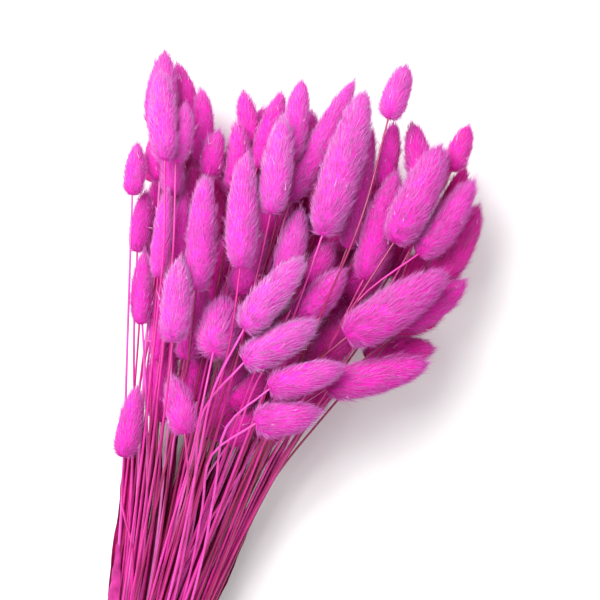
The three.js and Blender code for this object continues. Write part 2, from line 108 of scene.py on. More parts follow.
# The ranges of two factors, and how far a hair's direction and tone vary
HAIR_VARIES = {"length": (0.75, 1.1), "thick": (0.75, 1.25), "way": 0.08, "tone": 0.09}
ROOT_DEPTH = 0.4 * MM  # how deep in the core a hair starts
HAIR_OWN = 0.75  # the share of a hair's own shape in its shading. The rest is that of the head.
HAIR_AT_ROOT = 0.15  # the colour there, between 0 for FUR_ROOT and 1 for FUR_TIP
SPIKE_MIDDLE = 0.6  # how thick a bent hair is in its middle, against its root
UPRIGHT = 0.05  # a hair that stands more upright than this has hardly an upper side
GUARD_HAIRS = 0.18  # the share of the hairs that are longer, thinner and paler
GUARD_HAIR = {"long": 1.6, "thick": 0.75, "tone": 0.04}
# Hairs in a clump, the fewest clumps on a head, and how far one clump differs from the next
CLUMP = {"hairs": 16, "least": 12, "way": 0.11, "length": (0.9, 1.06), "tone": 0.05}
PAINTED_LIGHT_UPWARD = (0.16, 0.74)  # the tones of the heads on the floor and on top: painted shade low in the heap and painted light on top
PAINTED_LIGHT_AT = (8 * MM, 76 * MM)  # the heights of their middles
PAINTED_LIGHT_LEFT = 1.2  # painted light and shade: how much paler a head is for each metre that it lies further to the left, where the light comes from
HEAD_TONE = 0.08  # how far one head's tone varies
TIP_PALER = 0.1  # how much paler a head's tip is than its foot
TONES = (0.02, 0.98)  # of a hair, at the least and at the most

# Long thin bristles
AWNS_EACH = 44
# Where along the head, the share of the core's radius where it starts, and its length against a hair's
AWN = {"where": (0.02, 0.95), "root": 0.8, "way": 0.16, "length": (1.4, 2.1), "bend": 0.1,
       "thick": 0.09 * MM, "tone": 0.1}
AWN_PALE = (0.5, 0.8, 1.0)  # its colour at its root, middle and tip, between 0 for FUR_ROOT and 1 for FUR_TIP

# Short pale bits of husk
STRAWS_EACH = 4
# Where along the head, how far above the core against a hair's length, and its length in millimetres
STRAW = {"where": (0.1, 0.8), "lift": (0.3, 0.5), "way": 0.4, "length": (2, 4), "thick": 0.2 * MM}

# Dry leaves: dark ones under the lowest stems, as painted shade between the stems, and one round the stem at
# the bunch's left edge
SHADE_LEAF_UNDER = 8.5 * MM  # the stems that pass the band lower than this have a dark leaf under them, painted shade between the stems
# How far beyond the band it starts and ends, and how far it lies to the right of its stem and above it
LEAF = {"reach": (60 * MM, 214 * MM), "wide": 5.4 * MM, "crumple": 0.5 * MM, "aside": (0, -1.2 * MM),
        "step": 4.2 * MM}
# The dark half of the leaf colours, for the leaves under the stems: painted shade
SHADE_LEAF_TONE = (0, 0.5)
EDGE_LEAF = {"reach": (62 * MM, 142 * MM), "wide": 9.5 * MM, "crumple": 0.8 * MM,
             "aside": (-1.0 * MM, 1.5 * MM), "step": 1.4 * MM}
EDGE_TONE = 0.68
EDGE_HIGH = 0.15  # that leaf's stem lies far to the left, and this share of its height counts as well
LEAF_THICK = 0.16 * MM
LEAF_CURL = 1.0  # half the angle that a leaf bends through across its width
LEAF_ACROSS = 9
LEAF_TIP = 0.01  # how far its ends are cut short, as a share of its length
LEAF_ENDS = 0.8  # the lower, the blunter its ends
LEAF_TWIST = 0.2  # how far it turns to and fro, in radians
TWIST_WAVES = (9, 40)  # in radians, over its length and for its tone
LEAF_RIB = 0.14 * MM
LEAF_RIBS = 4  # across its whole width
# Waves and wrinkles in radians: over a leaf's length, over half its width and for its tone
LEAF_WAVES = ((31, 2.2, 60), (12, 0, 9))
LEAF_WRINKLES = ((70, 6, 0), (20, 9, 0))
WRINKLE_SHARE = 0.3  # how deep the wrinkles are, against 1 for the waves

# Elastic band: one closed strand of rubber, wound round the stems and back over itself
BAND_TURNS = 4
BAND_CROSSING = math.radians(110)  # the angle through which the strand runs back over the others
BAND_CROSSES_AT = math.radians(75)  # where that starts, from the right-hand side, turning over the top
BAND_RISE = 3  # the strand climbs within one part in this many of the crossing
STRAND = (0.82 * MM, 0.75 * MM)  # half its width along the bunch and half its thickness
STRAND_AROUND = 10
STRAND_STEPS = 84  # in one turn
OUTLINE_STEP = 1.5  # degrees
ASIDE = 0.05  # the cosine below which a direction says nothing about the outline

# Colours as on a screen, from 0 to 255, at shares of the tone or of the random patches
FUR_ROOT = [(0, (236, 8, 150)), (0.5, (238, 50, 198)), (1, (236, 96, 220))]
FUR_TIP = [(0, (234, 34, 170)), (0.5, (234, 108, 220)), (0.85, (234, 162, 236)), (1, (252, 214, 246))]
CORE_COLOUR = [(0, (230, 6, 142)), (0.5, (230, 46, 186)), (1, (230, 84, 210))]
CORE_PATCHES = [(0.3, (232, 190, 216)), (0.7, (255, 255, 255))]
STEM_COLOUR = [(0, (160, 6, 92)), (0.35, (222, 24, 156)), (0.75, (244, 84, 200)), (1, (250, 156, 226))]
STEM_PATCHES = [(0.3, (200, 170, 190)), (0.7, (255, 255, 255))]
# Its dark end is painted shade, for the leaves under the stems. The edge leaf takes a paler tone.
LEAF_AND_SHADE_COLOUR = [(0, (112, 2, 62)), (0.5, (160, 10, 96)), (1, (226, 62, 184))]
LEAF_PATCHES = [(0.3, (190, 160, 180)), (0.7, (255, 255, 255))]
BAND_COLOUR = [(0.3, (196, 158, 102)), (0.7, (216, 184, 130))]
FLOOR_COLOUR = (0.92, 0.92, 0.92, 1)
FUR_THROUGH = 0.4  # the share of the light that passes through a hair
BUMP_DEPTH = 0.1 * MM

# The studio
FLOOR_SIZE = 6
SURROUNDING = 0.82  # brightness
KEY_LIGHT = {"place": (-0.8, 0.5, 1.4), "size": 1.3, "power": 40, "target": (0, 0.09, 0.04)}

rng = np.random.default_rng(7)


def smooth_path(points, step):
    """A smooth line through the points, with a new point about every step."""
    pts = np.asarray(points, float)
    before = 2 * pts[0] - pts[1]
    after = 2 * pts[-1] - pts[-2]
    knots = np.vstack([before, pts, after])
    line = []
    for k in range(1, len(knots) - 2):
        p0, p1, p2, p3 = knots[k - 1 : k + 3]
        t1 = max(1e-9, math.sqrt(np.linalg.norm(p1 - p0)))
        t2 = t1 + max(1e-9, math.sqrt(np.linalg.norm(p2 - p1)))
        t3 = t2 + max(1e-9, math.sqrt(np.linalg.norm(p3 - p2)))
        count = max(1, int(round(np.linalg.norm(p2 - p1) / step)))
        for t in t1 + (t2 - t1) * np.arange(count) / count:
            a1 = (p0 * (t1 - t) + p1 * t) / t1
            a2 = (p1 * (t2 - t) + p2 * (t - t1)) / (t2 - t1)
            a3 = (p2 * (t3 - t) + p3 * (t - t2)) / (t3 - t2)
            b1 = (a1 * (t2 - t) + a2 * t) / t2
            b2 = (a2 * (t3 - t) + a3 * (t - t1)) / (t3 - t1)
            line.append((b1 * (t2 - t) + b2 * (t - t1)) / (t2 - t1))
    line.append(pts[-1])
    return np.array(line)


def directions(line):
    ways = np.gradient(line, axis=0)
    return ways / np.linalg.norm(ways, axis=1, keepdims=True)


def side_vectors(ways):
    """Two vectors across the line at each of its points, which don't twist along it."""
    first = np.cross((0.0, 0.0, 1.0), ways[0])
    if np.linalg.norm(first) < 0.1:
        first = np.cross((1.0, 0.0, 0.0), ways[0])
    u = [first / np.linalg.norm(first)]
    for way in ways[1:]:
        side = u[-1] - way * np.dot(u[-1], way)
        u.append(side / np.linalg.norm(side))
    u = np.array(u)
    return u, np.cross(ways, u)


class Axis:
    """A line with its directions and side vectors, which can be asked for at any share of its length."""

    def __init__(self, line):
        self.line = np.asarray(line)
        lengths = np.linalg.norm(np.diff(self.line, axis=0), axis=1)
        self.length = lengths.sum()
        self.shares = np.concatenate([[0], np.cumsum(lengths)]) / self.length
        self.ways = directions(self.line)
        self.u, self.v = side_vectors(self.ways)

    def at(self, table, share):
        inside = np.clip(share, 0, 1)
        return np.stack([np.interp(inside, self.shares, table[:, i]) for i in range(3)], -1)

    def place(self, share):
        beyond = (share - np.clip(share, 0, 1))[..., None] * self.length
        return self.at(self.line, share) + beyond * self.at(self.ways, share)

    def across(self, share, angle):
        cos = np.cos(angle)[..., None]
        sin = np.sin(angle)[..., None]
        return cos * self.at(self.u, share) + sin * self.at(self.v, share)


def band_middle():
    low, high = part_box("elastic_band")
    return (low + high) / 2


def welded(node):
    """The vertices and triangles of a node, with those at one place joined."""
    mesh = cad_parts[node].data
    mesh.calc_loop_triangles()
    co = np.empty(len(mesh.vertices) * 3)
    mesh.vertices.foreach_get("co", co)
    co = co.reshape(-1, 3)
    triangles = np.empty(len(mesh.loop_triangles) * 3, np.int32)
    mesh.loop_triangles.foreach_get("vertices", triangles)
    _, first, same = np.unique(np.round(co / WELD), axis=0, return_index=True, return_inverse=True)
    return co[first], same.reshape(-1)[triangles].reshape(-1, 3)


def neighbours(triangles):
    near = {}
    for a, b, c in triangles:
        for one, two in ((a, b), (b, c), (c, a)):
            near.setdefault(one, set()).add(two)
            near.setdefault(two, set()).add(one)
    return near


def open_edge(triangles):
    """The vertices on the edge of a cut mesh."""
    seen = {}
    for a, b, c in triangles:
        for edge in ((a, b), (b, c), (c, a)):
            key = tuple(sorted(edge))
            seen[key] = seen.get(key, 0) + 1
    return {v for edge, times in seen.items() if times == 1 for v in edge}


def rings_from(start, near):
    """Walks up a stem ring by ring, from its lowest ring."""
    rings = [sorted(start)]
    known = set(start)
    while True:
        after = {n for v in rings[-1] for n in near[v]} - known
        if not after:
            return rings
        rings.append(sorted(after))
        known |= after


def upper_parts(co, triangles, from_y):
    """The stems of a node beyond a place along the bunch, as rings of vertices."""
    upper = triangles[(co[triangles][:, :, 1] > from_y).all(1)]
    near = neighbours(upper)
    edge = open_edge(upper)
    parts = []
    while edge:
        start = {edge.pop()}
        start |= {v for v in edge if near[v] & start}
        edge -= start
        parts.append(rings_from(start, near))
    return parts


def read_pair(node):
    """The two stems of a node with their heads, as the model has them."""
    co, triangles = welded(node)
    band_y = band_middle().y
    stems = []
    reach = SEPARATE_FROM
    while len(stems) != 2 or any(len(rings[0]) != STEM_CORNERS for rings in stems):
        stems = upper_parts(co, triangles, band_y + reach)
        reach += SEPARATE_STEP
    stems.sort(key=lambda rings: co[rings[0]].mean(0)[0])
    low = co[co[:, 1] < band_y - CUT_WITHIN]
    middle = co[np.abs(co[:, 1] - band_y) < BAND_WITHIN]
    return [read_grass(co, rings, side, low, middle) for side, rings in enumerate(stems)]


def slot_middle(points, side):
    """The middle of a stem where both stems of a node are grown together, from its outermost corners."""
    if side == 0:
        outermost = points[points[:, 0].argmin()]
        return outermost + (CAD_STEM_R, 0, 0)
    outermost = points[np.argsort(points[:, 0])[-2:]].mean(0)
    return outermost - (CAD_STEM_R / 2, 0, 0)


def read_grass(co, rings, side, low, middle):
    """One stem with its head: the points of the stem, the axis of the head and its radius."""
    centres = np.array([co[ring].mean(0) for ring in rings])
    stem_rings = next(i for i, ring in enumerate(rings) if len(ring) >= HEAD_CORNERS)
    stem = np.vstack([slot_middle(low, side), slot_middle(middle, side), centres[:stem_rings]])
    between = 0.5 * (stem[1:-3] + stem[3:-1])
    stem[2:-2] += STEM_EASE * (between - stem[2:-2])
    head = np.vstack([centres[stem_rings - 1], centres[stem_rings:-1:2], centres[-1]])
    radius = 0
    for ring, centre in zip(rings[stem_rings:-1], centres[stem_rings:-1]):
        radius = max(radius, np.linalg.norm(co[ring] - centre, axis=1).max())
    axis = Axis(smooth_path(head, AXIS_STEP))
    return {"stem": stem, "axis": axis, "radius": radius, "taper": rng.uniform(*TAPER)}


class Pieces:
    """Collects the parts of one mesh: vertices, normals, faces, materials and what the materials read."""

    def __init__(self):
        self.co = []
        self.normals = []
        self.along = []
        self.tone = []
        self.faces = []
        self.face_material = []
        self.count = 0

    def add(self, co, normals, faces, material, tone=0.0, along=0.0):
        self.co.append(co)
        self.normals.append(normals)
        self.along.append(np.broadcast_to(along, len(co)))
        self.tone.append(np.broadcast_to(tone, len(co)))
        self.faces.append(faces + self.count)
        self.face_material.append(np.full(len(faces), material))
        self.count += len(co)

    def build(self, name, materials):
        co = np.vstack(self.co)
        co[:, 2] = np.maximum(co[:, 2], ABOVE_FLOOR)
        faces = np.vstack(self.faces)
        along = np.concatenate(self.along)
        tone = np.concatenate(self.tone)
        mesh = bpy.data.meshes.new(name)
        mesh.vertices.add(len(co))
        mesh.vertices.foreach_set("co", co.ravel())
        mesh.loops.add(faces.size)
        mesh.loops.foreach_set("vertex_index", faces.ravel().astype(np.int32))
        mesh.polygons.add(len(faces))
        mesh.polygons.foreach_set("loop_start", np.arange(0, faces.size, 3, dtype=np.int32))
        mesh.polygons.foreach_set("material_index", np.concatenate(self.face_material).astype(np.int32))
        mesh.update(calc_edges=True)
        for label, values in (("along", along), ("tone", tone)):
            layer = mesh.attributes.new(label, "FLOAT", "POINT")
            layer.data.foreach_set("value", values.astype(np.float32))
        for material in materials:
            mesh.materials.append(material)
        mesh.polygons.foreach_set("use_smooth", np.ones(len(faces), bool))
        mesh.normals_split_custom_set_from_vertices(np.vstack(self.normals))
        thing = bpy.data.objects.new(name, mesh)
        bpy.context.scene.collection.objects.link(thing)
        return thing


STEM, CORE, FUR, LEAF_SKIN = range(4)


def tube_faces(rings, around):
    """Triangles between rings of points, the last joined to the first all the way round."""
    j = np.arange(around)
    k = (j + 1) % around
    faces = []
    for i in range(rings - 1):
        a, b = i * around, (i + 1) * around
        faces.append(np.stack([a + j, a + k, b + k], 1))
        faces.append(np.stack([a + j, b + k, b + j], 1))
    return np.vstack(faces)


def fan(centre, ring, flip):
    """Triangles from one point to a ring of points."""
    after = np.roll(ring, -1)
    middle = np.full(len(ring), centre)
    return np.stack([middle, after, ring] if flip else [middle, ring, after], 1)


def closed_tube(rings, around):
    """The triangles of a tube with a point at each end, where those two points come last."""
    ring = np.arange(around)
    last = rings * around
    return np.vstack([
        tube_faces(rings, around),
        fan(last, ring, True),
        fan(last + 1, ring + last - around, False),
    ])


def add_stem(pieces, grass, tone):
    """A thin round straw, a little thicker at its cut end, with small bends of its own."""
    line = smooth_path(grass["stem"], STEM_STEP)
    inside = grass["axis"].place(np.linspace(0, STEM_INTO_HEAD, 4)[1:])
    axis = Axis(np.vstack([line, inside]))
    count = len(axis.line)
    share = axis.shares
    radius = np.interp(share, (0, 1), STEM_THICK) * (1 + STEM_PALE_THICKER * (tone - 0.5))
    radius = radius * (1 + STEM_UNEVEN * np.sin(share * STEM_WAVES + tone * STEM_SHIFT))
    angle = np.arange(STEM_SIDES) * 2 * math.pi / STEM_SIDES
    out = np.cos(angle)[None, :, None] * axis.u[:, None] + np.sin(angle)[None, :, None] * axis.v[:, None]
    co = axis.line[:, None] + radius[:, None, None] * out
    faces = tube_faces(count, STEM_SIDES)
    pieces.add(co.reshape(-1, 3), out.reshape(-1, 3), faces, STEM, tone)
    for end, flip in ((0, True), (count - 1, False)):
        ring = co[end]
        centre = axis.line[end]
        cap = np.vstack([centre, ring])
        normal = axis.ways[end] * (1 if end else -1)
        face = fan(0, np.arange(1, STEM_SIDES + 1), flip)
        pieces.add(cap, np.tile(normal, (len(cap), 1)), face, STEM, tone)


def sheet_normals(co, out):
    """The normals of a sheet of points, on its outer side."""
    normals = np.cross(np.gradient(co, axis=0), np.gradient(co, axis=1))
    normals = normals / np.linalg.norm(normals, axis=2, keepdims=True)
    return normals * np.sign((normals * out).sum(2, keepdims=True))


def ripple(share, across, tone, waves):
    """Two waves multiplied, so that they swell and fade over a leaf."""
    one, two = (np.sin(share * along + across * sideways + tone * shift) for along, sideways, shift in waves)
    return one * two


def leaf_surface(axis, leaf, tone):
    """The outer side of a leaf as rows of points, and the way straight out of it at each of them."""
    share = axis.shares[:, None]
    across = np.linspace(1, -1, LEAF_ACROSS)[None]
    wide = np.sin(math.pi * (LEAF_TIP + (1 - 2 * LEAF_TIP) * share)) ** LEAF_ENDS
    wide = 0.5 * leaf["wide"] * wide
    facing = math.atan2(leaf["aside"][1], leaf["aside"][0])
    turn = facing + LEAF_CURL * across
    turn = turn + LEAF_TWIST * np.sin(share * TWIST_WAVES[0] + tone * TWIST_WAVES[1])
    rib = LEAF_RIB * np.cos(across * LEAF_RIBS * math.pi)
    relief = ripple(share, across, tone, LEAF_WAVES)
    relief = relief + WRINKLE_SHARE * ripple(share, across, tone, LEAF_WRINKLES)
    bend = wide / LEAF_CURL
    radius = bend + (rib + leaf["crumple"] * relief) * 2 * wide / leaf["wide"]
    side = np.array((1.0, 0.0, 0.0))
    up = np.array((0.0, 0.0, 1.0))
    out = np.cos(turn)[..., None] * side + np.sin(turn)[..., None] * up
    back = (np.cos(facing) * side + np.sin(facing) * up) * bend[..., None]
    return axis.line[:, None] + radius[..., None] * out - back, out


def add_leaf(pieces, grass, leaf, tone):
    """A dry leaf along a stem: a thin strip, bent across its width, ribbed and a little crumpled."""
    low, high = (band_middle().y + reach for reach in leaf["reach"])
    line = smooth_path(grass["stem"], leaf["step"])
    line = line[(line[:, 1] > low) & (line[:, 1] < high)]
    axis = Axis(line + (leaf["aside"][0], 0, leaf["aside"][1]))
    outer, out = leaf_surface(axis, leaf, tone)
    inner = outer - LEAF_THICK * out
    co = np.concatenate([outer, inner[:, ::-1]], 1)
    ends = np.stack([co[0].mean(0), co[-1].mean(0)])
    outward = sheet_normals(outer, out)
    normals = np.concatenate([outward, -outward[:, ::-1]], 1)
    flat = np.vstack([co.reshape(-1, 3), ends])
    normals = np.vstack([normals.reshape(-1, 3), -axis.ways[0], axis.ways[-1]])
    pieces.add(flat, normals, closed_tube(len(line), 2 * LEAF_ACROSS), LEAF_SKIN, tone)


def core_share(share):
    """A share of the head's length as a share of its core's."""
    return (share - CORE_ENDS[0]) / (CORE_ENDS[1] - CORE_ENDS[0])


def core_radius(grass, share):
    t = np.clip(core_share(share), 0, 1)
    before = np.clip((WIDEST - t) / WIDEST, 0, 1)
    behind = np.clip((t - WIDEST) / (1 - WIDEST), 0, 1)
    to_foot = (1 - before ** FOOT_CURVE[0]) ** FOOT_CURVE[1]
    to_tip = (1 - behind**TIP_CURVE) ** grass["taper"]
    outline = np.where(t < WIDEST, to_foot, to_tip)
    return CORE_SHARE * grass["radius"] * outline


def core_ways(grass, share, angle):
    """The way straight out of the core's surface, and the way along it to the head's tip."""
    axis = grass["axis"]
    step = 0.01
    low = np.clip(share - step, *CORE_ENDS)
    high = np.clip(share + step, *CORE_ENDS)
    rise = core_radius(grass, high) - core_radius(grass, low)
    run = (high - low) * axis.length
    slant = np.hypot(rise, run)
    rise = (rise / slant)[..., None]
    run = (run / slant)[..., None]
    across = axis.across(share, angle)
    along = axis.at(axis.ways, share)
    return run * across - rise * along, run * along + rise * across


def add_core(pieces, grass, tone):
    """The dense middle of a head, which the hairs stand out of."""
    axis = grass["axis"]
    count = max(CORE_RINGS, int(axis.length / CORE_STEP))
    even = 0.5 - 0.5 * np.cos(np.linspace(0, math.pi, count + 2))
    t = CORE_ENDS[0] + even * (CORE_ENDS[1] - CORE_ENDS[0])
    angle = np.arange(CORE_AROUND) * 2 * math.pi / CORE_AROUND
    share = np.repeat(t[1:-1], CORE_AROUND).reshape(-1, CORE_AROUND)
    turn = np.broadcast_to(angle, share.shape)
    rough = 1 + rng.uniform(-CORE_ROUGH, CORE_ROUGH, share.shape)
    out = axis.across(share, turn)
    co = axis.place(share) + (core_radius(grass, share) * rough)[..., None] * out
    ends = axis.place(np.array([t[0], t[-1]]))
    flat = np.vstack([co.reshape(-1, 3), ends])
    sides, _ = core_ways(grass, share, turn)
    normals = np.vstack([sides.reshape(-1, 3), -axis.ways[0], axis.ways[-1]])
    pieces.add(flat, normals, closed_tube(count, CORE_AROUND), CORE, tone)


def spread_roots(grass, count):
    """Places for hairs, spread evenly over a head's core: shares of its length and angles round it."""
    t = np.linspace(*CORE_ENDS, ROOT_STEPS)
    radius = core_radius(grass, t)
    weight = radius * np.sqrt(1 + (np.gradient(radius, t) / grass["axis"].length) ** 2)
    weight = weight * np.interp(core_share(t), FOOT_SHARES, MORE_AT_FOOT)
    summed = np.cumsum(weight)
    summed = (summed - summed[0]) / (summed[-1] - summed[0])
    order = (np.arange(count) + rng.uniform(0, 1, count)) / count
    share = np.interp(order, summed, t)
    golden = math.pi * (3 - math.sqrt(5))
    angle = (np.arange(count) * golden + rng.uniform(0, ROOT_TURN, count)) % (2 * math.pi)
    return share, angle


def hair_length(grass):
    """Small heads have shorter hair."""
    return HAIR_LENGTH * (grass["radius"] / USUAL_RADIUS) ** LENGTH_POWER


def hair_way(grass, share, angle):
    """The way that a hair grows: along the core to the head's tip, and a little outwards."""
    axis = grass["axis"]
    out, along = core_ways(grass, share, angle)
    way = along + HAIR_OUT * out + HAIR_FORWARD * axis.at(axis.ways, share)
    return way / np.linalg.norm(way, axis=1, keepdims=True)


def spikes(roots, tips, thick, middle=None):
    """Three-sided hairs, closed, as vertices and faces. With middle, each hair bends there."""
    way = tips - roots
    way = way / np.linalg.norm(way, axis=1, keepdims=True)
    side = np.cross(way, rng.normal(size=way.shape))
    side = side / np.linalg.norm(side, axis=1, keepdims=True)
    other = np.cross(way, side)
    corners = []
    for k in range(3):
        turn = 2 * math.pi * k / 3
        corners.append(math.cos(turn) * side + math.sin(turn) * other)
    rows = [roots + thick[:, None] * c for c in corners]
    outward = list(corners)
    if middle is not None:
        rows += [middle + SPIKE_MIDDLE * thick[:, None] * c for c in corners]
        outward += corners
    rows.append(tips)
    outward.append(way)
    co = np.stack(rows, 1)
    own = np.stack(outward, 1)
    top = len(rows) - 1
    faces = [(0, 2, 1)]
    for k in range(3):
        after = (k + 1) % 3
        if middle is not None:
            faces += [(k, after, 3 + after), (k, 3 + after, 3 + k)]
        faces.append((top - 3 + k, top - 3 + after, top))
    starts = np.arange(len(roots))[:, None, None] * len(rows)
    return co, own, (starts + np.array(faces)[None]).reshape(-1, 3)


def upper_side(way):
    """The way across a hair that points upwards most."""
    way = way / np.linalg.norm(way, axis=1, keepdims=True)
    up = np.array((0.0, 0.0, 1.0)) - way[:, 2:] * way
    return up / np.maximum(np.linalg.norm(up, axis=1, keepdims=True), UPRIGHT)


def nearest_clump(grass, share, angle, clump_share, clump_angle):
    step_along = (share[:, None] - clump_share[None]) * grass["axis"].length
    turn = (angle[:, None] - clump_angle[None] + math.pi) % (2 * math.pi) - math.pi
    return np.argmin(step_along**2 + (turn * core_radius(grass, share)[:, None]) ** 2, axis=1)


def add_hairs(pieces, grass, tone, count):
    """The soft fur of a head: short hairs in small clumps, which lean towards its tip."""
    axis = grass["axis"]
    share, angle = spread_roots(grass, count)
    clumps = max(CLUMP["least"], count // CLUMP["hairs"])
    clump = nearest_clump(grass, share, angle, *spread_roots(grass, clumps))
    clump_way = rng.normal(0, CLUMP["way"], (clumps, 3))
    clump_length = rng.uniform(*CLUMP["length"], clumps)
    clump_tone = rng.normal(0, CLUMP["tone"], clumps)
    out, _ = core_ways(grass, share, angle)
    way = hair_way(grass, share, angle) + clump_way[clump] + rng.normal(0, HAIR_VARIES["way"], (count, 3))
    guard = rng.uniform(0, 1, count) < GUARD_HAIRS
    length = hair_length(grass) * clump_length[clump] * rng.uniform(*HAIR_VARIES["length"], count)
    length = length * np.where(guard, GUARD_HAIR["long"], 1)
    foot = axis.place(share) + core_radius(grass, share)[:, None] * axis.across(share, angle)
    roots = foot - ROOT_DEPTH * out
    tips = foot + length[:, None] * way
    thick = HAIR_THICK * rng.uniform(*HAIR_VARIES["thick"], count) * np.where(guard, GUARD_HAIR["thick"], 1)
    co, own, faces = spikes(roots, tips, thick)
    own[:, 3] = upper_side(way)
    normals = (1 - HAIR_OWN) * out[:, None] + HAIR_OWN * own
    normals = normals / np.linalg.norm(normals, axis=2, keepdims=True)
    along = np.tile([HAIR_AT_ROOT] * 3 + [1.0], count)
    hair_tone = tone + clump_tone[clump] + rng.normal(0, HAIR_VARIES["tone"], count)
    hair_tone = hair_tone + TIP_PALER * (share - 0.5) + guard * GUARD_HAIR["tone"]
    hair_tone = np.repeat(hair_tone.clip(*TONES), 4)
    pieces.add(co.reshape(-1, 3), normals.reshape(-1, 3), faces, FUR, hair_tone, along)


def add_awns(pieces, grass, tone):
    """Long fine bristles that stand clear of the fur."""
    axis = grass["axis"]
    share = rng.uniform(*AWN["where"], AWNS_EACH)
    angle = rng.uniform(0, 2 * math.pi, AWNS_EACH)
    depth = AWN["root"] * core_radius(grass, share)
    roots = axis.place(share) + depth[:, None] * axis.across(share, angle)
    way = hair_way(grass, share, angle) + rng.normal(0, AWN["way"], (AWNS_EACH, 3))
    length = hair_length(grass) * rng.uniform(*AWN["length"], AWNS_EACH)
    bend = rng.normal(0, AWN["bend"], (AWNS_EACH, 3))
    middle = roots + 0.5 * length[:, None] * (way - 0.5 * bend)
    tips = roots + length[:, None] * (way + bend)
    co, own, faces = spikes(roots, tips, np.full(AWNS_EACH, AWN["thick"]), middle)
    own[:, -1] = upper_side(way)
    along = np.tile(np.repeat(AWN_PALE, (3, 3, 1)), AWNS_EACH)
    awn_tone = min(TONES[1], tone + AWN["tone"])
    pieces.add(co.reshape(-1, 3), own.reshape(-1, 3), faces, FUR, awn_tone, along)


def add_straws(pieces, grass):
    """Short pale bits of husk that lie in the fur."""
    axis = grass["axis"]
    share = rng.uniform(*STRAW["where"], STRAWS_EACH)
    angle = rng.uniform(0, 2 * math.pi, STRAWS_EACH)
    out = axis.across(share, angle)
    lift = core_radius(grass, share) + rng.uniform(*STRAW["lift"], STRAWS_EACH) * hair_length(grass)
    roots = axis.place(share) + lift[:, None] * out
    way = hair_way(grass, share, angle) + rng.normal(0, STRAW["way"], (STRAWS_EACH, 3))
    tips = roots + (rng.uniform(*STRAW["length"], STRAWS_EACH) * MM)[:, None] * way
    co, own, faces = spikes(roots, tips, np.full(STRAWS_EACH, STRAW["thick"]))
    pieces.add(co.reshape(-1, 3), own.reshape(-1, 3), faces, FUR, tone=1.0, along=1.0)


def make_material(name, roughness, specular):
    material = bpy.data.materials.new(name)
    material.use_nodes = True
    shader = material.node_tree.nodes["Principled BSDF"]
    shader.inputs["Roughness"].default_value = roughness
    shader.inputs["Specular IOR Level"].default_value = specular
    return material, material.node_tree, shader


def attribute(tree, name):
    node = tree.nodes.new("ShaderNodeAttribute")
    node.attribute_name = name
    return node.outputs["Fac"]


def noise(tree, scale, detail):
    """Random patches on the surface, the smaller the higher the scale."""
    place = tree.nodes.new("ShaderNodeTexCoord")
    node = tree.nodes.new("ShaderNodeTexNoise")
    node.inputs["Scale"].default_value = scale
    node.inputs["Detail"].default_value = detail
    tree.links.new(place.outputs["Object"], node.inputs["Vector"])
    return node.outputs["Fac"]


def linear(colour):
    """A colour given as on a screen, from 0 to 255, as the shader takes it."""
    c = np.array(colour) / 255
    return np.where(c <= 0.04045, c / 12.92, ((c + 0.055) / 1.055) ** 2.4)


def ramp(tree, value, stops):
    node = tree.nodes.new("ShaderNodeValToRGB")
    tree.links.new(value, node.inputs["Fac"])
    elements = node.color_ramp.elements
    while len(elements) < len(stops):
        elements.new(0.5)
    for element, (place, colour) in zip(elements, stops):
        element.position = place
        element.color = (*linear(colour), 1)
    return node.outputs["Color"]


def mixed(tree, one, two):
    """A node that mixes two colours. Its share is still to be set or linked."""
    node = tree.nodes.new("ShaderNodeMix")
    node.data_type = "RGBA"
    tree.links.new(one, node.inputs[6])
    tree.links.new(two, node.inputs[7])
    return node


def patchy(tree, colour, patches, share):
    """The colour, darker in places."""
    node = mixed(tree, colour, patches)
    node.blend_type = "MULTIPLY"
    node.inputs["Factor"].default_value = share
    return node.outputs[2]


def add_translucence(tree, shader, colour, share):
    """Lets some of the light through, as thin dry hairs do."""
    through = tree.nodes.new("ShaderNodeBsdfTranslucent")
    tree.links.new(colour, through.inputs["Color"])
    both = tree.nodes.new("ShaderNodeMixShader")
    both.inputs[0].default_value = share
    tree.links.new(shader.outputs[0], both.inputs[1])
    tree.links.new(through.outputs[0], both.inputs[2])
    tree.links.new(both.outputs[0], tree.nodes["Material Output"].inputs["Surface"])


def add_bump(tree, shader, height, strength):
    node = tree.nodes.new("ShaderNodeBump")
    node.inputs["Strength"].default_value = strength
    node.inputs["Distance"].default_value = BUMP_DEPTH
    tree.links.new(height, node.inputs["Height"])
    tree.links.new(node.outputs["Normal"], shader.inputs["Normal"])


def fur_material():
    """Hairs that are paler towards their tips."""
    material, tree, shader = make_material("dyed_fur", roughness=0.42, specular=0.8)
    tone = attribute(tree, "tone")
    root = ramp(tree, tone, FUR_ROOT)
    node = mixed(tree, root, ramp(tree, tone, FUR_TIP))
    tree.links.new(attribute(tree, "along"), node.inputs["Factor"])
    tree.links.new(node.outputs[2], shader.inputs["Base Color"])
    add_translucence(tree, shader, root, share=FUR_THROUGH)
    return material


def core_material():
    material, tree, shader = make_material("fur_base", roughness=0.9, specular=0.0)
    colour = ramp(tree, attribute(tree, "tone"), CORE_COLOUR)
    patches = ramp(tree, noise(tree, scale=900, detail=3), CORE_PATCHES)
    tree.links.new(patchy(tree, colour, patches, share=1.0), shader.inputs["Base Color"])
    return material


def stem_material():
    """A dyed straw, patchy where the dye has taken unevenly, with a fine grain."""
    material, tree, shader = make_material("dyed_stem", roughness=0.34, specular=0.7)
    colour = ramp(tree, attribute(tree, "tone"), STEM_COLOUR)
    patches = ramp(tree, noise(tree, scale=120, detail=4), STEM_PATCHES)
    tree.links.new(patchy(tree, colour, patches, share=0.8), shader.inputs["Base Color"])
    add_bump(tree, shader, noise(tree, scale=2500, detail=2), strength=0.25)
    return material


